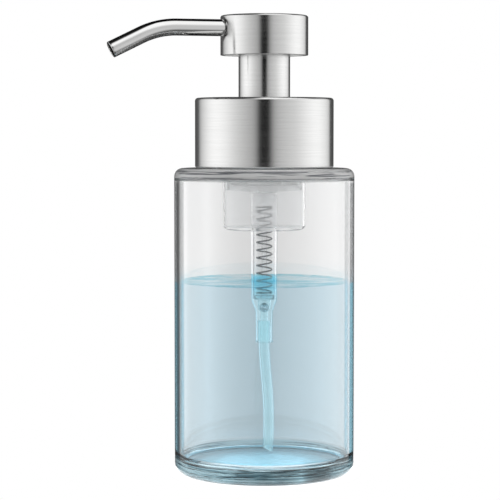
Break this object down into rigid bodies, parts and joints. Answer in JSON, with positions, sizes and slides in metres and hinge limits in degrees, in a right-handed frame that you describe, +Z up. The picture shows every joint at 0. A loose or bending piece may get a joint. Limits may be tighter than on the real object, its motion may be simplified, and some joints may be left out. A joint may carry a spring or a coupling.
{
  "type": "foaming soap pump dispenser",
  "caption": "Round clear glass bottle with a screw-on steel foaming pump: press head, long angled spout, air and liquid cylinders and dip tube.",
  "frame": {"origin": "centre of the bottle's underside, on the surface that it stands on", "axes": "+Z up along the bottle's axis, -X along the spout, +Y away from a viewer who sees the spout point left"},
  "size_m": [0.0975, 0.07, 0.1777],
  "materials": {
    "clear_glass": "smooth clear glass with a faint green-blue edge",
    "brushed_steel": "fine brushing round the axis",
    "polished_steel": "smooth, nearly polished",
    "translucent_plastic": "translucent natural polypropylene",
    "natural_plastic": "satin moulded polypropylene",
    "soft_seal": "matte soft polyethylene foam"
  },
  "bodies": {
    "bottle": {"glass_bottle": "clear_glass"},
    "pump_body": {"pump_housing": "translucent_plastic", "neck_gasket": "soft_seal", "guide_ring": "natural_plastic", "dip_tube": "translucent_plastic", "sealing_rod": "natural_plastic", "return_spring": "polished_steel"},
    "inlet_valve": {"inlet_ball": "polished_steel"},
    "closure": {"collar_shell": "brushed_steel", "closure_insert": "natural_plastic"},
    "plunger": {"liquid_piston": "natural_plastic"},
    "air_pump": {"air_piston": "natural_plastic", "air_valve_disc": "soft_seal"},
    "head": {"pump_stem": "natural_plastic", "foam_cartridge": "natural_plastic", "lower_mesh": "natural_plastic", "upper_mesh": "natural_plastic", "stem_sleeve": "brushed_steel", "head_core": "natural_plastic", "head_shell": "brushed_steel", "spout_tube": "polished_steel"}
  },
  "joints": [
    {"name": "pump_raise", "type": "slide", "parent": "bottle", "child": "pump_body", "axis": [0, 0, 1], "range_m": [0, 0.00529]},
    {"name": "closure_turn", "type": "hinge", "parent": "pump_body", "child": "closure", "pos_m": [0, 0, 0.13], "axis": [0, 0, 1], "range_deg": [0, 450]},
    {"name": "pump_press", "type": "slide", "parent": "pump_body", "child": "plunger", "axis": [0, 0, -1], "range_m": [0, 0.013], "stiffness_N_per_m": 900, "springref_m": -0.008, "deforming": ["return_spring"]},
    {"name": "air_piston_slip", "type": "slide", "parent": "plunger", "child": "air_pump", "axis": [0, 0, 1], "range_m": [0, 0.0015]},
    {"name": "head_swivel", "type": "hinge", "parent": "plunger", "child": "head", "pos_m": [0, 0, 0.15], "axis": [0, 0, 1], "continuous": true},
    {"name": "inlet_ball_lift", "type": "slide", "parent": "pump_body", "child": "inlet_valve", "axis": [0, 0, 1], "range_m": [0, 0.0012]}
  ],
  "couplings": [
    {"joint": "closure_turn", "follows": "pump_raise", "rad_per_m": 1485.4}
  ]
}
